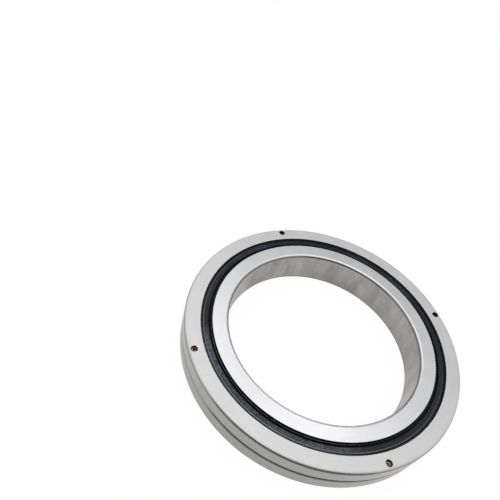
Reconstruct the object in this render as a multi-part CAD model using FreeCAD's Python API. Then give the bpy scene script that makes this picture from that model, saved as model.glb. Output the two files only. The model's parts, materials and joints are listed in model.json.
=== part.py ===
import FreeCAD, Part
import math
import os

# Crossed roller bearing with a split outer ring. Millimetres, +Z along the bearing axis.
# The origin is the centre of the bearing, in the middle plane where the outer ring is split.

# Envelope
bore_diameter = 70.0
section_height = 15.0
width = 13.0
edge_chamfer = 0.6

# Rollers
roller_diameter = 5.0
roller_count = 42
pitch_inset = 0.5
running_clearance = 0.05
roller_end_clearance = 0.1

# Spacers between the rollers
spacer_length = 3.6
spacer_raceway_clearance = 0.2
pocket_clearance = 0.1

# Rings
ring_gap = 0.5
relief_depth = 0.25
relief_width = 1.0
raceway_shoulder = 0.95
inner_seal_step = 1.15
outer_seal_step = 2.3
split_chamfer = 0.6

# Seals
seal_sink = 0.6
seal_seat_clearance = 0.05
seal_body_width = 2.6
seal_edge_chamfer = 0.5
lip_thickness = 0.5
lip_clearance = 0.1
lip_height_above_step = 0.4
lip_ridge_inset = 0.35
lip_ridge_width = 0.3

# Rivets through the two halves of the outer ring
rivet_count = 4
rivet_start_angle = 45.0
rivet_shank_diameter = 1.7
rivet_head_diameter = 2.2
rivet_head_height = 0.8
rivet_head_sink = 0.8
rivet_clearance = 0.05

# Oil holes at the split
oil_hole_count = 2
oil_hole_start_angle = 0.0
oil_hole_diameter = 1.6

# Sine and cosine of 45 degrees: the lean of every roller and raceway
LEAN = math.sqrt(0.5)
ORIGIN = FreeCAD.Vector(0, 0, 0)
UP = FreeCAD.Vector(0, 0, 1)

# Sizes that follow
half_width = width / 2
bore_radius = bore_diameter / 2
outside_radius = bore_radius + section_height
pitch_radius = bore_radius + section_height / 2 - pitch_inset
roller_radius = roller_diameter / 2
roller_length = roller_diameter - 2 * roller_end_clearance
roller_step = 360.0 / roller_count

# The raceways form a square on its corner round each roller
vertex_reach = (roller_radius + running_clearance) / LEAN
mouth_height = vertex_reach - ring_gap / 2
seat_height = mouth_height + raceway_shoulder
inner_land_radius = pitch_radius - ring_gap / 2
outer_land_radius = pitch_radius + ring_gap / 2
inner_step_radius = inner_land_radius - inner_seal_step
outer_step_radius = outer_land_radius + outer_seal_step
inner_relief_radius = pitch_radius - vertex_reach - relief_depth
outer_relief_radius = pitch_radius + vertex_reach + relief_depth

rivet_circle_radius = (outer_relief_radius + outside_radius) / 2
shank_hole_radius = rivet_shank_diameter / 2 + rivet_clearance
head_hole_radius = rivet_head_diameter / 2 + rivet_clearance
head_top = half_width - rivet_head_sink
head_seat = head_top - rivet_head_height


def outward(angle):
    """Unit vector away from the bearing axis, at an angle in degrees."""
    turn = math.radians(angle)
    return FreeCAD.Vector(math.cos(turn), math.sin(turn), 0)


def spaced_angles(count, start):
    """Evenly spaced angles in degrees."""
    return [start + index * 360.0 / count for index in range(count)]


def turned(outline):
    """Solid turned about the bearing axis from an outline of (radius, height) corners."""
    corners = [FreeCAD.Vector(radius, 0, height) for radius, height in outline]
    section = Part.Face(Part.makePolygon(corners + corners[:1]))
    return section.revolve(ORIGIN, UP, 360)


def upright_cylinder(centre, radius, bottom, top):
    """Cylinder parallel to the bearing axis, between two heights."""
    return Part.makeCylinder(radius, top - bottom, centre + UP * bottom, UP)


def rivet_centres():
    return [outward(angle) * rivet_circle_radius for angle in spaced_angles(rivet_count, rivet_start_angle)]


def oil_holes():
    """Radial holes from the outside into the raceway, half in each half of the ring."""
    length = outside_radius - pitch_radius
    directions = [outward(angle) for angle in spaced_angles(oil_hole_count, oil_hole_start_angle)]
    return [Part.makeCylinder(oil_hole_diameter / 2, length, way * pitch_radius, way) for way in directions]


def rivet_holes():
    """Stepped holes: a shank hole through the half ring and a wider one for the head."""
    shanks = [upright_cylinder(centre, shank_hole_radius, 0, half_width) for centre in rivet_centres()]
    heads = [upright_cylinder(centre, head_hole_radius, head_seat, half_width) for centre in rivet_centres()]
    return shanks + heads


def outer_half():
    """Upper half of the outer ring: half of the raceway below, the seal's seat above."""
    relief_half = relief_width / 2
    ring = turned([
        (outer_relief_radius, 0),
        (outer_relief_radius, relief_half),
        (pitch_radius + vertex_reach - relief_half, relief_half),
        (outer_land_radius, mouth_height),
        (outer_land_radius, seat_height),
        (outer_step_radius, seat_height),
        (outer_step_radius, half_width),
        (outside_radius - edge_chamfer, half_width),
        (outside_radius, half_width - edge_chamfer),
        (outside_radius, split_chamfer),
        (outside_radius - split_chamfer, 0),
    ])
    return ring.cut(rivet_holes() + oil_holes())


def inner_ring():
    """One-piece inner ring: the bore, two faces, two seal steps and the raceway."""
    relief_half = relief_width / 2
    upper = [
        (bore_radius, half_width - edge_chamfer),
        (bore_radius + edge_chamfer, half_width),
        (inner_step_radius, half_width),
        (inner_step_radius, seat_height),
        (inner_land_radius, seat_height),
        (inner_land_radius, mouth_height),
        (pitch_radius - vertex_reach + relief_half, relief_half),
        (inner_relief_radius, relief_half),
    ]
    lower = [(radius, -height) for radius, height in reversed(upper)]
    return turned(upper + lower)


def seal():
    """Upper seal: a body seated in the outer ring and a ridged lip that runs on the inner ring."""
    top = half_width - seal_sink
    rim = outer_step_radius - seal_seat_clearance
    body_inside = rim - seal_body_width
    tip = inner_step_radius + lip_clearance
    lip_bottom = seat_height + lip_height_above_step
    lip_top = lip_bottom + lip_thickness
    ridge_inside = tip + lip_ridge_inset
    return turned([
        (rim, seat_height),
        (rim, top - seal_edge_chamfer),
        (rim - seal_edge_chamfer, top),
        (body_inside, top),
        (body_inside, lip_top),
        (ridge_inside + lip_ridge_width, lip_top),
        (ridge_inside, top),
        (tip, lip_top),
        (tip, lip_bottom),
        (outer_land_radius, seat_height),
    ])


def lower_of(upper):
    """The same piece on the other side of the split plane."""
    return upper.mirror(ORIGIN, UP)


def rivet(centre):
    """Rivet with a head at each end, seated on the steps of its hole."""
    shank = upright_cylinder(centre, rivet_shank_diameter / 2, -head_seat, head_seat)
    upper_head = upright_cylinder(centre, rivet_head_diameter / 2, head_seat, head_top)
    return shank.fuse([upper_head, lower_of(upper_head)])


def roller_body(index, radius, length):
    """Cylinder on a roller's axis, which leans up and down by turns."""
    way = outward(index * roller_step)
    lean = LEAN if index % 2 == 0 else -LEAN
    axis = way * LEAN + UP * lean
    return Part.makeCylinder(radius, length, way * pitch_radius - axis * (length / 2), axis)


def spacer_section(centre, way):
    """Square on its corner, a little smaller than the square of the raceways."""
    reach = (roller_radius + running_clearance - spacer_raceway_clearance) / LEAN
    corners = [centre + side * reach for side in (way, UP, -way, -UP)]
    return Part.Face(Part.makePolygon(corners + corners[:1]))


def spacer(index):
    """Plastic spacer after a roller, hollowed on each side to the roller beside it."""
    angle = (index + 0.5) * roller_step
    along = outward(angle + 90)
    start = outward(angle) * (pitch_radius * math.cos(math.radians(roller_step / 2))) - along * (spacer_length / 2)
    block = spacer_section(start, outward(angle)).extrude(along * spacer_length)
    pocket_length = 2 * roller_diameter
    neighbours = [index, (index + 1) % roller_count]
    return block.cut([roller_body(place, roller_radius + pocket_clearance, pocket_length) for place in neighbours])


def bearing():
    """Every piece by name, where it stands in the assembled bearing."""
    pieces = {
        "outer_ring_upper": outer_half(),
        "outer_ring_lower": lower_of(outer_half()),
        "inner_ring": inner_ring(),
        "seal_upper": seal(),
        "seal_lower": lower_of(seal()),
        "rivets": Part.makeCompound([rivet(centre) for centre in rivet_centres()]),
        "spacers": Part.makeCompound([spacer(index) for index in range(roller_count)]),
    }
    for index in range(roller_count):
        pieces["roller_%02d" % (index + 1)] = roller_body(index, roller_radius, roller_length)
    return pieces


os.makedirs("parts", exist_ok=True)
for name, piece in bearing().items():
    piece.exportStep(os.path.join("parts", name + ".step"))
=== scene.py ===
import json
import math

import bmesh
import bpy
from mathutils import Matrix, Vector


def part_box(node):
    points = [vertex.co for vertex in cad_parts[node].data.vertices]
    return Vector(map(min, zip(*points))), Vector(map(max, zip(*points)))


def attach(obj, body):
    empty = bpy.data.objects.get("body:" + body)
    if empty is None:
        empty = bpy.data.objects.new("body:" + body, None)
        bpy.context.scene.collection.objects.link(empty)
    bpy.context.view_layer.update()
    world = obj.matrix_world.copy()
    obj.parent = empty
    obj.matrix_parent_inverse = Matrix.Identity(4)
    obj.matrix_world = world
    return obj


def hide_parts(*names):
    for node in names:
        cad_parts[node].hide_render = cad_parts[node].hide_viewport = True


# Crossed roller bearing: rounded rings, seals and rivets, a finish for every piece, and the studio
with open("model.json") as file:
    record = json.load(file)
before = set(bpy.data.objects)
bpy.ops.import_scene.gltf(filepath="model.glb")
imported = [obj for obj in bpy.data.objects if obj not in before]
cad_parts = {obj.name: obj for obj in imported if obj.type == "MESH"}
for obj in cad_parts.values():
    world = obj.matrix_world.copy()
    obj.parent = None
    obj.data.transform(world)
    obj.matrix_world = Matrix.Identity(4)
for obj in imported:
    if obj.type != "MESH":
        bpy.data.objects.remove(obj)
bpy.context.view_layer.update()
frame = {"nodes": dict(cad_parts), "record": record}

# Outlines are in millimetres and meshes in metres
MM = 0.001

# Sizes that the frame gives
MOUNTS = {mount["name"]: mount for mount in frame["record"]["mounts"]}
BORE_RADIUS = MOUNTS["bore"]["dims"]["r_mm"]
OUTSIDE_RADIUS = MOUNTS["outside"]["dims"]["r_mm"]
HALF_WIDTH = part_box("inner_ring")[1].z / MM
INNER_LAND_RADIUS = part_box("inner_ring")[1].x / MM
SEAL_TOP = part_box("seal_upper")[1].z / MM
SEAT_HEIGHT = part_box("seal_upper")[0].z / MM
SEAL_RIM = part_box("seal_upper")[1].x / MM
HEAD_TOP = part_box("rivets")[1].z / MM

# Sides of the split plane, each with half of the outer ring and a seal
SIDES = ("upper", "lower")

# Rings
RING_GAP = 0.5
PITCH_RADIUS = INNER_LAND_RADIUS + RING_GAP / 2
OUTER_LAND_RADIUS = PITCH_RADIUS + RING_GAP / 2
RACEWAY_SHOULDER = 0.95
MOUTH_HEIGHT = SEAT_HEIGHT - RACEWAY_SHOULDER
VERTEX_REACH = MOUTH_HEIGHT + RING_GAP / 2
RELIEF_DEPTH = 0.25
RELIEF_HALF = 0.5
SEAL_CLEARANCE = 0.05
INNER_STEP_WIDTH = 1.15
INNER_STEP_RADIUS = INNER_LAND_RADIUS - INNER_STEP_WIDTH
OUTER_STEP_RADIUS = SEAL_RIM + SEAL_CLEARANCE
OUTER_RELIEF_RADIUS = PITCH_RADIUS + VERTEX_REACH + RELIEF_DEPTH
INNER_RELIEF_RADIUS = PITCH_RADIUS - VERTEX_REACH - RELIEF_DEPTH
EDGE_ROUNDING = 1.0
SPLIT_ROUNDING = 1.0
STEP_ROUNDING = 0.12
INSIDE_ROUNDING = 0.08

# Seal body, from the rim inward
SEAL_BODY_WIDTH = 2.6
SEAL_BODY_INSIDE = SEAL_RIM - SEAL_BODY_WIDTH
SEAL_LEDGE_RUN = 0.78
SEAL_LEDGE_DROP = 0.05
SEAL_STEP_RUN = 0.15
SEAL_STEP_DROP = 0.45
SEAL_SLOPE = math.tan(math.radians(3))

# Seal lip, from its tip outward
LIP_CLEARANCE = 0.1
LIP_TIP_RADIUS = INNER_STEP_RADIUS + LIP_CLEARANCE
LIP_LIFT = 0.4
LIP_BOTTOM = SEAT_HEIGHT + LIP_LIFT
LIP_THICKNESS = 0.5
LIP_TOP = LIP_BOTTOM + LIP_THICKNESS
LIP_WALL_RUN = 0.05
RIDGE_FROM_TIP = 0.35
RIDGE_RADIUS = LIP_TIP_RADIUS + RIDGE_FROM_TIP
RIDGE_FOOT_RUN = 0.3
RIDGE_FOOT = RIDGE_RADIUS + RIDGE_FOOT_RUN
RIDGE_HALF = 0.11

# Roundings of a seal
SHOULDER_ROUNDING = 0.38
SEAL_CREST_ROUNDING = 0.12
SEAL_BASE_ROUNDING = 0.1
RIDGE_ROUNDING = 0.05
LIP_TIP_ROUNDING = 0.06

# Rivets
RIVET_ANGLES = (45, 135, 225, 315)
RIVET_CIRCLE = (OUTER_RELIEF_RADIUS + OUTSIDE_RADIUS) / 2
SHANK_RADIUS = 0.85
HEAD_RADIUS = 1.1
HEAD_HEIGHT = 0.8
HEAD_SEAT = HEAD_TOP - HEAD_HEIGHT
BRIM_HEIGHT = 0.25
CROWN_RADIUS = 0.8
CROWN_FOOT_RUN = 0.05
CROWN_FOOT_RISE = 0.1
DIMPLE_RADIUS = 0.45
DIMPLE_DEPTH = 0.6

# Roundings of a rivet
HEAD_ROUNDING = 0.05
BRIM_ROUNDING = 0.08
CROWN_ROUNDING = 0.12
HOLLOW_ROUNDING = 0.06

# Holes, and how far their cutters reach past the metal
HOLE_CLEARANCE = 0.05
HOLE_EDGE = 0.04
RIVET_HOLE_OVERRUN = 0.5
OIL_HOLE_RADIUS = 0.8
OIL_HOLE_ANGLES = (0, 180)
OIL_HOLE_OVERRUN = 1.0

# Least and greatest vertical part of the normals in a ring's turned corners, where a dark steel paints in a
# dark reflection, and on a seal's shoulder
CORNER_LIFT = (0.05, 0.75)
SHOULDER_LIFT = (0.5, 0.99)

# How far in from the outside the turned corner at the split may lie
SPLIT_CORNER_DEPTH = 1.1

# How far below the seal's top the ridge of its lip has the same rubber as the body; deeper, the lip's
# hollows get nearly black rubber as painted shade
RIDGE_CREST_DEPTH = 0.1

# Mesh fineness: angle in degrees, lengths of outlines in millimetres, those of meshes in metres
RING_SEGMENTS = 384
HOLE_SEGMENTS = 40
ARC_STEPS = 4
LARGE_ARC_STEPS = 9
LARGE_ROUNDING = 0.5
SUPPORT_DISTANCE = 0.04
SHARP_ANGLE = 32
MERGE_DISTANCE = 1e-7
SHORTEST_EDGE = 1e-8

# Ground steel
STEEL_ANISOTROPY = 0.3
STEEL_GLOSS_SPREAD = 0.04
QUARTER_TURN = 0.25

# Rubber
RUBBER_INDEX = 1.5
RUBBER_GLOSS_SPREAD = 0.1

# Which pattern of broad patches of painted sheen the seals have
RUBBER_SHEEN_SEED = 8.82

# Which of the rivets are darkest: partly tarnish, partly painted shade on rivets that sit deep in their
# holes
TARNISH_AND_SHADE_SEED = 1.805

# Where the fans of tone lie on the bore's steel, placed to paint in the bore's lighter and darker
# reflections
BORE_FANS_AND_REFLECTION_SEED = 19.425

# Camera: lens and sensor in millimetres, place and nearest distance in metres, angles in degrees
CAMERA_LENS = 33.85
CAMERA_SENSOR = 36
CAMERA_NEAREST = 0.01
CAMERA_PLACE = (-0.00651, -0.11028, 0.13201)
CAMERA_HEADING = 11.81
CAMERA_TILT = 40.44
CAMERA_ROLL = 20.27
CAMERA_SHIFT_Y = 0.101

# Soft lamps: name, azimuth and elevation in degrees, distance and sizes in metres, brightness
SOFTBOXES = (
    ("overhead", 80, 74, 0.85, 0.60, 0.60, 0.48),
    ("zenith", 74, 70, 0.80, 0.22, 0.22, 0.4),
    ("front", 262, 60, 0.85, 0.50, 0.50, 0.7),
    ("side", 130, 56, 0.85, 0.30, 0.30, 0.8),
    ("low", 98, 9, 0.85, 0.50, 0.24, 0.7),
    ("small", 74, 58, 0.85, 0.10, 0.10, 1.0),
)
LAMP_COLOUR = (1.0, 0.975, 0.955)
WORLD_FILL = 0.85

# Floor: size in metres, gap below the bearing in millimetres, paint, glow to the camera and in mirrors
FLOOR_SIZE = 6
FLOOR_GAP = 0.01
FLOOR_COLOUR = 0.9
FLOOR_ROUGHNESS = 0.9
CAMERA_GLOW = 0.96
MIRROR_GLOW = 0.4

# Grey cards: name, first and last azimuth, then radius and height in metres of their two rims
CARDS = (
    ("front_card", 232, 335, (0.40, 0.0), (0.31, 0.26)),
    ("back_card", 40, 125, (0.39, 0.10), (0.335, 0.225)),
)
FLOOR_CARD = ("floor_card", 230, 334, (0.062, -0.0062), (0.20, -0.0062))
CARD_BRIGHTNESS = 0.16
CARD_STEPS = 24

# Fading of the floor card: azimuth of its middle, radii in metres, cosines of the angle from its middle
FLOOR_CARD_MIDDLE = 282
FADE_OUTWARD = (0.09, 0.20)
FADE_SIDEWAYS = (0.97, 0.62)


def rounded_outline(corners):
    """Closed outline in mm from (radius, height, rounding) corners.

    Each rounding is an arc, with a supporting point beside it where there is room.
    """
    outline = []
    for index, (across, up, rounding) in enumerate(corners):
        corner = Vector((across, up))
        if rounding == 0:
            outline.append(corner)
            continue
        neighbours = [Vector(corners[(index + side) % len(corners)][:2]) for side in (-1, 1)]
        lengths = [(neighbour - corner).length for neighbour in neighbours]
        ways = [(neighbour - corner).normalized() for neighbour in neighbours]
        half_angle = ways[0].angle(ways[1]) / 2
        reach = rounding / math.tan(half_angle)
        centre = corner + (ways[0] + ways[1]).normalized() * (rounding / math.sin(half_angle))
        start, end = [corner + way * reach - centre for way in ways]
        if lengths[0] > 2 * (reach + SUPPORT_DISTANCE):
            outline.append(corner + ways[0] * (reach + SUPPORT_DISTANCE))
        turn = start.angle(end)
        steps = ARC_STEPS if rounding < LARGE_ROUNDING else LARGE_ARC_STEPS
        for step in range(steps + 1):
            share = step / steps
            spoke = start * math.sin((1 - share) * turn) + end * math.sin(share * turn)
            outline.append(centre + spoke / math.sin(turn))
        if lengths[1] > 2 * (reach + SUPPORT_DISTANCE):
            outline.append(corner + ways[1] * (reach + SUPPORT_DISTANCE))
    return outline


def mirrored(corners):
    """The same corners below the split plane."""
    return [(across, -up, rounding) for across, up, rounding in reversed(corners)]


def turned(name, outline, segments, places=(Matrix.Identity(4),)):
    """Object of one solid turned about the Z axis for each place, from a closed outline in mm."""
    vertices = []
    faces = []
    count = len(outline)
    for place in places:
        first = len(vertices)
        for step in range(segments):
            angle = 2 * math.pi * step / segments
            for across, up in outline:
                point = Vector((across * math.cos(angle), across * math.sin(angle), up))
                vertices.append((place @ point) * MM)
            here = first + step * count
            there = first + (step + 1) % segments * count
            for point in range(count):
                after = (point + 1) % count
                faces.append((here + point, here + after, there + after, there + point))
    mesh = bpy.data.meshes.new(name)
    mesh.from_pydata(vertices, [], faces)
    piece = bpy.data.objects.new(name, mesh)
    bpy.context.scene.collection.objects.link(piece)
    tidy_mesh(piece)
    return piece


def tidy_mesh(piece):
    """Closes the mesh at the axis, points its normals outward and shades its rounded edges smooth."""
    mesh = bmesh.new()
    mesh.from_mesh(piece.data)
    bmesh.ops.remove_doubles(mesh, verts=mesh.verts, dist=MERGE_DISTANCE)
    bmesh.ops.dissolve_degenerate(mesh, edges=mesh.edges, dist=SHORTEST_EDGE)
    bmesh.ops.recalc_face_normals(mesh, faces=mesh.faces)
    mesh.to_mesh(piece.data)
    mesh.free()
    piece.data.shade_smooth()
    piece.data.set_sharp_from_angle(angle=math.radians(SHARP_ANGLE))


def cut(piece, cutter):
    """Takes the cutter's shape out of the piece and removes the cutter."""
    modifier = piece.modifiers.new("cut", "BOOLEAN")
    modifier.operation = "DIFFERENCE"
    modifier.solver = "EXACT"
    modifier.object = cutter
    bpy.context.view_layer.update()
    evaluated = piece.evaluated_get(bpy.context.evaluated_depsgraph_get())
    cut_mesh = bpy.data.meshes.new_from_object(evaluated)
    piece.modifiers.clear()
    piece.data = cut_mesh
    bpy.data.objects.remove(cutter)
    tidy_mesh(piece)


def rivet_places():
    """Places of the rivets' axes, in millimetres."""
    spots = [Matrix.Rotation(math.radians(angle), 4, "Z") for angle in RIVET_ANGLES]
    return [spot @ Matrix.Translation((RIVET_CIRCLE, 0, 0)) for spot in spots]


def rivet_hole_cutter():
    """Stepped rivet holes of the upper half, each with a broken edge at its mouth."""
    shank = SHANK_RADIUS + HOLE_CLEARANCE
    head = HEAD_RADIUS + HOLE_CLEARANCE
    below = -RIVET_HOLE_OVERRUN
    above = HALF_WIDTH + RIVET_HOLE_OVERRUN
    outline = [
        (0, below),
        (shank, below),
        (shank, HEAD_SEAT),
        (head, HEAD_SEAT),
        (head, HALF_WIDTH - HOLE_EDGE),
        (head + HOLE_EDGE, HALF_WIDTH),
        (head + HOLE_EDGE, above),
        (0, above),
    ]
    return turned("rivet_holes", outline, HOLE_SEGMENTS, rivet_places())


def oil_hole_cutter():
    """Radial oil holes, with a broken edge where they leave the outside of the ring."""
    beyond = OUTSIDE_RADIUS + OIL_HOLE_OVERRUN
    outline = [
        (0, PITCH_RADIUS),
        (OIL_HOLE_RADIUS, PITCH_RADIUS),
        (OIL_HOLE_RADIUS, OUTSIDE_RADIUS - HOLE_EDGE),
        (OIL_HOLE_RADIUS + 2 * HOLE_EDGE, OUTSIDE_RADIUS + HOLE_EDGE),
        (OIL_HOLE_RADIUS, beyond),
        (0, beyond),
    ]
    lying = Matrix.Rotation(math.pi / 2, 4, "Y")
    places = [Matrix.Rotation(math.radians(angle), 4, "Z") @ lying for angle in OIL_HOLE_ANGLES]
    return turned("oil_holes", outline, HOLE_SEGMENTS, places)


def outer_half_corners():
    """Upper half of the outer ring: raceway below, seal step above, half of the split groove outside."""
    return [
        (OUTER_RELIEF_RADIUS, 0, 0),
        (OUTER_RELIEF_RADIUS, RELIEF_HALF, INSIDE_ROUNDING),
        (PITCH_RADIUS + VERTEX_REACH - RELIEF_HALF, RELIEF_HALF, INSIDE_ROUNDING),
        (OUTER_LAND_RADIUS, MOUTH_HEIGHT, INSIDE_ROUNDING),
        (OUTER_LAND_RADIUS, SEAT_HEIGHT, INSIDE_ROUNDING),
        (OUTER_STEP_RADIUS, SEAT_HEIGHT, INSIDE_ROUNDING),
        (OUTER_STEP_RADIUS, HALF_WIDTH, STEP_ROUNDING),
        (OUTSIDE_RADIUS, HALF_WIDTH, EDGE_ROUNDING),
        (OUTSIDE_RADIUS, 0, SPLIT_ROUNDING),
    ]


def inner_ring_corners():
    """One-piece inner ring: bore, two faces, two seal steps and the raceway."""
    upper = [
        (BORE_RADIUS, HALF_WIDTH, EDGE_ROUNDING),
        (INNER_STEP_RADIUS, HALF_WIDTH, STEP_ROUNDING),
        (INNER_STEP_RADIUS, SEAT_HEIGHT, INSIDE_ROUNDING),
        (INNER_LAND_RADIUS, SEAT_HEIGHT, INSIDE_ROUNDING),
        (INNER_LAND_RADIUS, MOUTH_HEIGHT, INSIDE_ROUNDING),
        (PITCH_RADIUS - VERTEX_REACH + RELIEF_HALF, RELIEF_HALF, INSIDE_ROUNDING),
        (INNER_RELIEF_RADIUS, RELIEF_HALF, INSIDE_ROUNDING),
    ]
    return upper + mirrored(upper)


def seal_corners():
    """Upper seal: a body that slopes down to a step near its rim, and a ridged lip at the inner ring."""
    shoulder_radius = SEAL_RIM - SEAL_LEDGE_RUN
    shoulder_height = SEAL_TOP - (shoulder_radius - SEAL_BODY_INSIDE) * SEAL_SLOPE
    foot_height = shoulder_height - SEAL_STEP_DROP
    return [
        (SEAL_RIM, SEAT_HEIGHT, INSIDE_ROUNDING),
        (SEAL_RIM, foot_height - SEAL_LEDGE_DROP, SEAL_BASE_ROUNDING),
        (shoulder_radius + SEAL_STEP_RUN, foot_height, INSIDE_ROUNDING),
        (shoulder_radius, shoulder_height, SHOULDER_ROUNDING),
        (SEAL_BODY_INSIDE, SEAL_TOP, SEAL_CREST_ROUNDING),
        (SEAL_BODY_INSIDE - LIP_WALL_RUN, LIP_TOP, SEAL_BASE_ROUNDING),
        (RIDGE_FOOT, LIP_TOP, INSIDE_ROUNDING),
        (RIDGE_RADIUS + RIDGE_HALF, SEAL_TOP, RIDGE_ROUNDING),
        (RIDGE_RADIUS - RIDGE_HALF, SEAL_TOP, RIDGE_ROUNDING),
        (LIP_TIP_RADIUS, LIP_TOP, LIP_TIP_ROUNDING),
        (LIP_TIP_RADIUS, LIP_BOTTOM, LIP_TIP_ROUNDING),
        (OUTER_LAND_RADIUS, SEAT_HEIGHT, SEAL_BASE_ROUNDING),
    ]


def rivet_outline():
    """Half section of a rivet with a brimmed, rolled head and a dimple at each end."""
    brim_top = HEAD_SEAT + BRIM_HEIGHT
    head = [
        (SHANK_RADIUS, HEAD_SEAT, HEAD_ROUNDING),
        (HEAD_RADIUS, HEAD_SEAT, HEAD_ROUNDING),
        (HEAD_RADIUS, brim_top, BRIM_ROUNDING),
        (CROWN_RADIUS + CROWN_FOOT_RUN, brim_top + CROWN_FOOT_RISE, HOLLOW_ROUNDING),
        (CROWN_RADIUS, HEAD_TOP, CROWN_ROUNDING),
        (DIMPLE_RADIUS, HEAD_TOP, CROWN_ROUNDING),
        (DIMPLE_RADIUS / 2, HEAD_TOP - DIMPLE_DEPTH, HOLLOW_ROUNDING),
        (0, HEAD_TOP - DIMPLE_DEPTH, 0),
    ]
    return rounded_outline(mirrored(head) + head)


def material_tree(name):
    """A new material with its node tree and its shader."""
    material = bpy.data.materials.new(name)
    material.use_nodes = True
    tree = material.node_tree
    return material, tree, tree.nodes["Principled BSDF"]


def place_on_piece(tree):
    """Vector of the place on the piece, in metres."""
    return tree.nodes.new("ShaderNodeTexCoord").outputs["Object"]


def joined(tree, kind, operation, *inputs):
    """Outputs of a new maths or vector maths node, from values and other nodes' outputs."""
    node = tree.nodes.new(kind)
    node.operation = operation
    for socket, value in zip(node.inputs, inputs):
        if isinstance(value, bpy.types.NodeSocket):
            tree.links.new(value, socket)
        else:
            socket.default_value = value
    return node.outputs


def maths(tree, operation, *inputs):
    return joined(tree, "ShaderNodeMath", operation, *inputs)["Value"]


def vector_maths(tree, operation, *inputs):
    return joined(tree, "ShaderNodeVectorMath", operation, *inputs)["Vector"]


def vector_measure(tree, operation, *inputs):
    return joined(tree, "ShaderNodeVectorMath", operation, *inputs)["Value"]


def noise(tree, vector, scale, detail, roughness, seed=0.0):
    node = tree.nodes.new("ShaderNodeTexNoise")
    node.noise_dimensions = "4D"
    node.inputs["W"].default_value = seed
    node.inputs["Scale"].default_value = scale
    node.inputs["Detail"].default_value = detail
    node.inputs["Roughness"].default_value = roughness
    tree.links.new(vector, node.inputs["Vector"])
    return node.outputs["Fac"]


def ranged(tree, value, low, high, start=0.0, end=1.0):
    """Maps a value from start to end onto low to high, and holds it there outside."""
    node = tree.nodes.new("ShaderNodeMapRange")
    for socket, number in (("From Min", start), ("From Max", end), ("To Min", low), ("To Max", high)):
        node.inputs[socket].default_value = number
    tree.links.new(value, node.inputs["Value"])
    return node.outputs["Result"]


def mixed_colour(tree, share, first, second):
    """Colour that is all first at a share of 0 and all second at a share of 1."""
    node = tree.nodes.new("ShaderNodeMix")
    node.data_type = "RGBA"
    node.inputs["A"].default_value = (*first, 1)
    node.inputs["B"].default_value = (*second, 1)
    tree.links.new(share, node.inputs["Factor"])
    return node.outputs["Result"]


def mixed_shader(tree, share, first, second):
    """Shader that is all first at a share of 0 and all second at a share of 1."""
    node = tree.nodes.new("ShaderNodeMixShader")
    tree.links.new(share, node.inputs["Fac"])
    tree.links.new(first, node.inputs[1])
    tree.links.new(second, node.inputs[2])
    return node.outputs["Shader"]


def bump(tree, shader, height, distance):
    node = tree.nodes.new("ShaderNodeBump")
    node.inputs["Distance"].default_value = distance
    tree.links.new(height, node.inputs["Height"])
    tree.links.new(node.outputs["Normal"], shader.inputs["Normal"])


def lay_vector(tree, place, around, across):
    """Place stretched along the turning marks: slow round the axis and quick across them, with no seam."""
    flat = vector_maths(tree, "MULTIPLY", place, (1, 1, 0))
    radius = vector_measure(tree, "LENGTH", flat)
    way = vector_maths(tree, "NORMALIZE", flat)
    slow = vector_maths(tree, "MULTIPLY", way, (around, around, around))
    split = tree.nodes.new("ShaderNodeSeparateXYZ")
    tree.links.new(place, split.inputs["Vector"])
    quick = maths(tree, "MULTIPLY", maths(tree, "ADD", radius, split.outputs["Z"]), across)
    lifted = tree.nodes.new("ShaderNodeCombineXYZ")
    tree.links.new(quick, lifted.inputs["Z"])
    return vector_maths(tree, "ADD", slow, lifted.outputs["Vector"])


def ground_steel(name, light, dark, roughness, fans_share=0.65, seed=0.0):
    """Ground steel: fine circular lay, soft fans of tone round the axis and uneven gloss. Darker copies and
    strong fans of it serve as painted shade and painted reflections.
    """
    material, tree, shader = material_tree(name)
    place = place_on_piece(tree)
    lay_place = lay_vector(tree, place, around=4, across=1700)
    lay = noise(tree, lay_place, scale=1, detail=2, roughness=0.5)
    fans_place = lay_vector(tree, place, around=6, across=60)
    fans = noise(tree, fans_place, scale=1, detail=3, roughness=0.55, seed=seed)
    lay_part = maths(tree, "MULTIPLY", lay, 1 - fans_share)
    fans_part = maths(tree, "MULTIPLY", fans, fans_share)
    tone = ranged(tree, maths(tree, "ADD", lay_part, fans_part), low=0, high=1, start=0.36, end=0.64)
    tree.links.new(mixed_colour(tree, tone, dark, light), shader.inputs["Base Color"])
    smooth = roughness - STEEL_GLOSS_SPREAD
    rough = roughness + STEEL_GLOSS_SPREAD
    tree.links.new(ranged(tree, fans, smooth, rough, start=0.3, end=0.7), shader.inputs["Roughness"])
    shader.inputs["Metallic"].default_value = 1.0
    shader.inputs["Anisotropic"].default_value = STEEL_ANISOTROPY
    shader.inputs["Anisotropic Rotation"].default_value = QUARTER_TURN
    tangent = tree.nodes.new("ShaderNodeTangent")
    tangent.direction_type = "RADIAL"
    tangent.axis = "Z"
    tree.links.new(tangent.outputs["Tangent"], shader.inputs["Tangent"])
    return material


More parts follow.
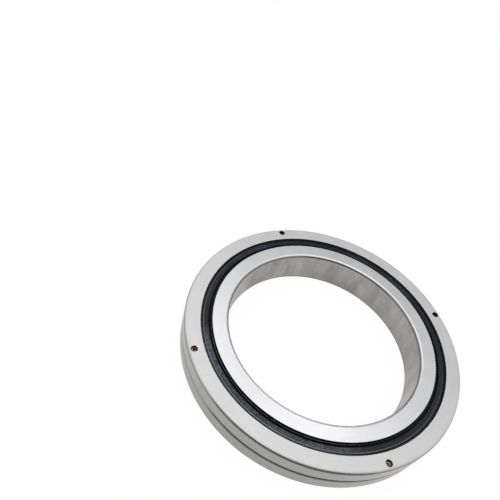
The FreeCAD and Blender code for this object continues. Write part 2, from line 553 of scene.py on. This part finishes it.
def rubber(name, light, dark, roughness, specular, index=RUBBER_INDEX):
    """Moulded rubber: blue-black and finely mottled, with painted sheen: a light mottle, stronger in broad
    patches.
    """
    material, tree, shader = material_tree(name)
    place = place_on_piece(tree)
    mottle = noise(tree, place, scale=1300, detail=3, roughness=0.6)
    mottle = ranged(tree, mottle, low=0, high=1, start=0.3, end=0.7)
    # Broad patches that paint sheen onto the light mottle
    sheen_patches = noise(tree, place, scale=14, detail=3, roughness=0.5, seed=RUBBER_SHEEN_SEED)
    sheen_patches = ranged(tree, sheen_patches, low=0.1, high=1, start=0.43, end=0.57)
    tone = maths(tree, "MULTIPLY", mottle, sheen_patches)
    tree.links.new(mixed_colour(tree, tone, dark, light), shader.inputs["Base Color"])
    rough = roughness + RUBBER_GLOSS_SPREAD
    tree.links.new(ranged(tree, tone, rough, roughness), shader.inputs["Roughness"])
    shader.inputs["Specular IOR Level"].default_value = specular
    shader.inputs["IOR"].default_value = index
    bump(tree, shader, mottle, distance=0.00002)
    return material


def rivet_copper():
    """Copper with fine scuffs, darkened nearly black in patches, more on some rivets than on others: partly
    tarnish, partly painted shade in deep holes.
    """
    material, tree, shader = material_tree("rivet_copper")
    place = place_on_piece(tree)
    scuffs = noise(tree, place, scale=1300, detail=4, roughness=0.6)
    # Broad darkening by rivet: partly tarnish, partly painted shade of rivets deep in their holes
    clean_and_lit = noise(tree, place, scale=14, detail=0, roughness=0.5, seed=TARNISH_AND_SHADE_SEED)
    clean_and_lit = ranged(tree, clean_and_lit, low=-0.14, high=0.04, start=0.33, end=0.66)
    bright = ranged(tree, maths(tree, "ADD", scuffs, clean_and_lit), low=0, high=1, start=0.46, end=0.6)
    colour = mixed_colour(tree, bright, (0.03, 0.015, 0.012), (0.50, 0.34, 0.28))
    tree.links.new(colour, shader.inputs["Base Color"])
    tree.links.new(ranged(tree, scuffs, low=0.5, high=0.28), shader.inputs["Roughness"])
    shader.inputs["Metallic"].default_value = 1.0
    bump(tree, shader, scuffs, distance=0.00004)
    return material


def grained(name, scale, dark, light, smooth, rough, metallic, grain_height):
    """Finish with one fine grain in its tone, its gloss and its surface."""
    material, tree, shader = material_tree(name)
    grain = noise(tree, place_on_piece(tree), scale, detail=3, roughness=0.6)
    tree.links.new(mixed_colour(tree, grain, dark, light), shader.inputs["Base Color"])
    tree.links.new(ranged(tree, grain, smooth, rough), shader.inputs["Roughness"])
    shader.inputs["Metallic"].default_value = metallic
    bump(tree, shader, grain, grain_height)
    return material


def roller_steel():
    """Superfinished roller steel, bright with the finest of marks."""
    return grained(
        "roller_steel", scale=5000, dark=(0.52, 0.525, 0.53), light=(0.60, 0.605, 0.61),
        smooth=0.08, rough=0.18, metallic=1.0, grain_height=0.000001,
    )


def spacer_plastic():
    """Moulded off-white plastic of the spacers, with a fine matt grain."""
    return grained(
        "spacer_plastic", scale=3000, dark=(0.74, 0.72, 0.67), light=(0.82, 0.80, 0.75),
        smooth=0.45, rough=0.6, metallic=0.0, grain_height=0.00001,
    )


def ring_part(polygon):
    """Which steel a ring's polygon has: 0 on the faces, 1 on the walls, darker as painted shade, 2 in the
    turned corners, darker still as a painted reflection.
    """
    lift = abs(polygon.normal.z)
    radius = Vector(polygon.center[:2]).length / MM
    height = abs(polygon.center.z) / MM
    at_face = height > HALF_WIDTH - EDGE_ROUNDING
    at_split = height < SPLIT_ROUNDING and radius > OUTSIDE_RADIUS - SPLIT_CORNER_DEPTH
    if (at_face or at_split) and CORNER_LIFT[0] < lift < CORNER_LIFT[1]:
        return 2
    return 0 if at_face and lift > CORNER_LIFT[1] else 1


def seal_part(polygon):
    """Which rubber a seal's polygon has: 0 on body and ridge, 1 in the lip's hollows, nearly black as
    painted shade, 2 on the shoulder.
    """
    lift = abs(polygon.normal.z)
    radius = Vector(polygon.center[:2]).length / MM
    depth = SEAL_TOP - abs(polygon.center.z) / MM
    if radius < SEAL_BODY_INSIDE:
        return 0 if depth < RIDGE_CREST_DEPTH else 1
    near_rim = radius > SEAL_RIM - SEAL_LEDGE_RUN - SHOULDER_ROUNDING and depth < SEAL_STEP_DROP
    return 2 if near_rim and SHOULDER_LIFT[0] < lift < SHOULDER_LIFT[1] else 0


def paint(piece, materials, part=None):
    """Gives the piece its materials, and each polygon the one that the part function picks."""
    piece.data.materials.clear()
    for material in materials:
        piece.data.materials.append(material)
    if part:
        for polygon in piece.data.polygons:
            polygon.material_index = part(polygon)


def dress(piece, body, nodes, materials, part=None):
    """Paints a piece, attaches it to the body it rides and hides the nodes it replaces."""
    paint(piece, materials, part)
    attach(piece, body)
    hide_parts(*nodes)


def upside_down(piece):
    """Turns a piece of the upper half into its mirror image below the split plane."""
    piece.data.transform(Matrix.Scale(-1, 4, (0, 0, 1)))
    piece.data.flip_normals()


def inner_ring_steels():
    """Steels of the inner ring's faces, of its bore and other walls, darker as painted shade with fans
    placed as painted reflections, and of its turned corners, darker still as a painted reflection.
    """
    face = ground_steel(
        "inner_face_steel", light=(0.60, 0.605, 0.622), dark=(0.55, 0.555, 0.572), roughness=0.28,
    )
    # Darker copy of the steel as painted shade on the bore and other walls, its fans placed to paint in the
    # bore's reflections
    bore = ground_steel(
        "bore_shade_and_reflection_steel", light=(0.462, 0.451, 0.428), dark=(0.278, 0.269, 0.256), roughness=0.22,
        fans_share=0.85, seed=BORE_FANS_AND_REFLECTION_SEED,
    )
    # Dark copy of the steel in the turned corners: a painted dark reflection along the edges
    corner = ground_steel(
        "inner_corner_shaded_steel", light=(0.23, 0.23, 0.225), dark=(0.19, 0.19, 0.185), roughness=0.22,
    )
    return [face, bore, corner]


def build_inner_ring():
    ring = turned("inner_ring_finish", rounded_outline(inner_ring_corners()), RING_SEGMENTS)
    dress(ring, "inner_ring", ["inner_ring"], inner_ring_steels(), ring_part)


def outer_ring_steels():
    """Steels of the outer ring's faces, of its walls, darker as painted shade, and of its turned corners,
    darker still as a painted reflection.
    """
    face = ground_steel(
        "outer_face_steel", light=(0.614, 0.614, 0.616), dark=(0.574, 0.574, 0.576), roughness=0.5,
    )
    # Darker copy of the face steel: painted shade on the walls
    wall = ground_steel(
        "outer_wall_shaded_steel", light=(0.42, 0.42, 0.41), dark=(0.37, 0.37, 0.36), roughness=0.22,
    )
    # Dark copy of the steel in the turned corners: a painted dark reflection along the edges
    corner = ground_steel(
        "outer_corner_shaded_steel", light=(0.34, 0.34, 0.335), dark=(0.29, 0.29, 0.285), roughness=0.22,
    )
    return [face, wall, corner]


def build_outer_ring():
    steels = outer_ring_steels()
    for side in SIDES:
        half = turned("outer_ring_%s_finish" % side, rounded_outline(outer_half_corners()), RING_SEGMENTS)
        cut(half, rivet_hole_cutter())
        cut(half, oil_hole_cutter())
        if side == "lower":
            upside_down(half)
        dress(half, "outer_ring", ["outer_ring_" + side], steels, ring_part)


def seal_rubbers():
    """Rubbers of a seal's body, with painted sheen, of its lip's hollows, nearly black as painted shade,
    and of its outer shoulder.
    """
    # Light bluish mottle and broad patches: painted sheen on the rubber
    body = rubber(
        "seal_rubber", light=(0.155, 0.168, 0.207), dark=(0.003, 0.0035, 0.006),
        roughness=0.24, specular=0.17,
    )
    # Nearly black rubber in the lip's hollows: painted shade
    lip = rubber(
        "lip_hollow_shade_rubber", light=(0.004, 0.0045, 0.006), dark=(0.002, 0.002, 0.003),
        roughness=0.35, specular=0.1,
    )
    shoulder = rubber(
        "shoulder_rubber", light=(0.03, 0.034, 0.045), dark=(0.01, 0.011, 0.014),
        roughness=0.14, specular=1.0, index=1.75,
    )
    return [body, lip, shoulder]


def build_seals():
    rubbers = seal_rubbers()
    for side in SIDES:
        seal = turned("seal_%s_finish" % side, rounded_outline(seal_corners()), RING_SEGMENTS)
        if side == "lower":
            upside_down(seal)
        dress(seal, "outer_ring", ["seal_" + side], rubbers, seal_part)


def build_rivets():
    rivets = turned("rivets_finish", rivet_outline(), HOLE_SEGMENTS, rivet_places())
    dress(rivets, "outer_ring", ["rivets"], [rivet_copper()])


def paint_frame():
    """Finishes of the rollers and spacers, which stay as the frame has them."""
    roller = roller_steel()
    spacer = spacer_plastic()
    for name, node in frame["nodes"].items():
        if name.startswith("roller_"):
            paint(node, [roller])
        elif name == "spacers":
            paint(node, [spacer])


def add_camera():
    data = bpy.data.cameras.new("camera")
    data.lens = CAMERA_LENS
    data.sensor_width = CAMERA_SENSOR
    data.shift_y = CAMERA_SHIFT_Y
    data.clip_start = CAMERA_NEAREST
    camera = bpy.data.objects.new("camera", data)
    bpy.context.scene.collection.objects.link(camera)
    heading = Matrix.Rotation(math.radians(CAMERA_HEADING), 4, "Z")
    tilt = Matrix.Rotation(math.radians(CAMERA_TILT), 4, "X")
    roll = Matrix.Rotation(math.radians(CAMERA_ROLL), 4, "Z")
    camera.matrix_world = Matrix.Translation(CAMERA_PLACE) @ heading @ tilt @ roll
    bpy.context.scene.camera = camera


def direction(azimuth, elevation):
    """Unit vector at an azimuth from +X and an elevation above the floor, both in degrees."""
    level = math.cos(math.radians(elevation))
    turn = math.radians(azimuth)
    return Vector((level * math.cos(turn), level * math.sin(turn), math.sin(math.radians(elevation))))


def add_softboxes():
    """Rectangular soft lamps that face the bearing."""
    for name, azimuth, elevation, distance, width, depth, brightness in SOFTBOXES:
        data = bpy.data.lights.new(name, "AREA")
        data.shape = "RECTANGLE"
        data.size = width
        data.size_y = depth
        data.energy = brightness * math.pi * width * depth
        data.color = LAMP_COLOUR
        lamp = bpy.data.objects.new(name, data)
        bpy.context.scene.collection.objects.link(lamp)
        way = direction(azimuth, elevation)
        facing = way.to_track_quat("Z", "Y").to_matrix().to_4x4()
        lamp.matrix_world = Matrix.Translation(way * distance) @ facing


def add_world():
    """White where it is seen, mirrored or seen through, and a softer fill where it lights."""
    world = bpy.data.worlds.new("world")
    bpy.context.scene.world = world
    world.use_nodes = True
    tree = world.node_tree
    path = tree.nodes.new("ShaderNodeLightPath")
    seen = maths(tree, "MAXIMUM", path.outputs["Is Camera Ray"], path.outputs["Is Glossy Ray"])
    seen = maths(tree, "MAXIMUM", seen, path.outputs["Is Transmission Ray"])
    background = tree.nodes["Background"]
    background.inputs["Color"].default_value = (1, 1, 1, 1)
    tree.links.new(ranged(tree, seen, WORLD_FILL, 1.0), background.inputs["Strength"])


def add_floor():
    """Pale floor that glows to the camera and less in mirrors, with a faint shadow. Clear from below."""
    bpy.ops.mesh.primitive_plane_add(size=FLOOR_SIZE, location=(0, 0, -(HALF_WIDTH + FLOOR_GAP) * MM))
    floor = bpy.context.object
    floor.name = "floor"
    material, tree, paint_shader = material_tree("floor_white")
    paint_shader.inputs["Base Color"].default_value = (FLOOR_COLOUR, FLOOR_COLOUR, FLOOR_COLOUR, 1)
    paint_shader.inputs["Roughness"].default_value = FLOOR_ROUGHNESS
    paint_shader.inputs["Specular IOR Level"].default_value = 0.0
    path = tree.nodes.new("ShaderNodeLightPath")
    shown = maths(tree, "MAXIMUM", path.outputs["Is Camera Ray"], path.outputs["Is Transmission Ray"])
    shown = maths(tree, "MULTIPLY", shown, CAMERA_GLOW)
    reflected = maths(tree, "MULTIPLY", path.outputs["Is Glossy Ray"], MIRROR_GLOW)
    glow_share = maths(tree, "MAXIMUM", shown, reflected)
    glow = tree.nodes.new("ShaderNodeEmission").outputs["Emission"]
    above = mixed_shader(tree, glow_share, paint_shader.outputs["BSDF"], glow)
    clear = tree.nodes.new("ShaderNodeBsdfTransparent").outputs["BSDF"]
    from_below = tree.nodes.new("ShaderNodeNewGeometry").outputs["Backfacing"]
    surface = mixed_shader(tree, from_below, above, clear)
    tree.links.new(surface, tree.nodes["Material Output"].inputs["Surface"])
    floor.data.materials.append(material)


def card_material(name):
    """Grey that glows and mirrors nothing, with its node tree and its shader."""
    material, tree, shader = material_tree(name)
    shader.inputs["Base Color"].default_value = (0, 0, 0, 1)
    shader.inputs["Specular IOR Level"].default_value = 0.0
    shader.inputs["Emission Color"].default_value = (1, 1, 1, 1)
    shader.inputs["Emission Strength"].default_value = CARD_BRIGHTNESS
    return material, tree, shader


def floor_card_material():
    """Card grey that fades outward and to both sides until it is clear."""
    material, tree, shader = card_material("floor_card_grey")
    place = place_on_piece(tree)
    radius = vector_measure(tree, "LENGTH", place)
    way = vector_maths(tree, "NORMALIZE", place)
    facing = vector_measure(tree, "DOT_PRODUCT", way, direction(FLOOR_CARD_MIDDLE, 0))
    outward = ranged(tree, radius, 0, 1, *FADE_OUTWARD)
    sideways = ranged(tree, facing, 0, 1, *FADE_SIDEWAYS)
    fade = maths(tree, "MAXIMUM", outward, sideways)
    clear = tree.nodes.new("ShaderNodeBsdfTransparent").outputs["BSDF"]
    surface = mixed_shader(tree, fade, shader.outputs["BSDF"], clear)
    tree.links.new(surface, tree.nodes["Material Output"].inputs["Surface"])
    return material


def add_card(material, name, start, end, *rims):
    """Curved card from one azimuth to another between two rims, seen only in reflections."""
    azimuths = [start + (end - start) * step / CARD_STEPS for step in range(CARD_STEPS + 1)]
    vertices = [direction(azimuth, 0) * radius + Vector((0, 0, height))
                for radius, height in rims for azimuth in azimuths]
    row = CARD_STEPS + 1
    faces = [(step, step + 1, row + step + 1, row + step) for step in range(CARD_STEPS)]
    mesh = bpy.data.meshes.new(name)
    mesh.from_pydata(vertices, [], faces)
    mesh.materials.append(material)
    card = bpy.data.objects.new(name, mesh)
    bpy.context.scene.collection.objects.link(card)
    card.visible_camera = False
    card.visible_diffuse = False
    card.visible_transmission = False
    card.visible_shadow = False


def add_grey_cards():
    """Two grey cards round the object, and one just above the floor in front of it."""
    grey = card_material("card_grey")[0]
    for card in CARDS:
        add_card(grey, *card)
    add_card(floor_card_material(), *FLOOR_CARD)


build_inner_ring()
build_outer_ring()
build_seals()
build_rivets()
paint_frame()
add_camera()
add_softboxes()
add_world()
add_floor()
add_grey_cards()
bpy.context.scene.view_settings.view_transform = "Standard"
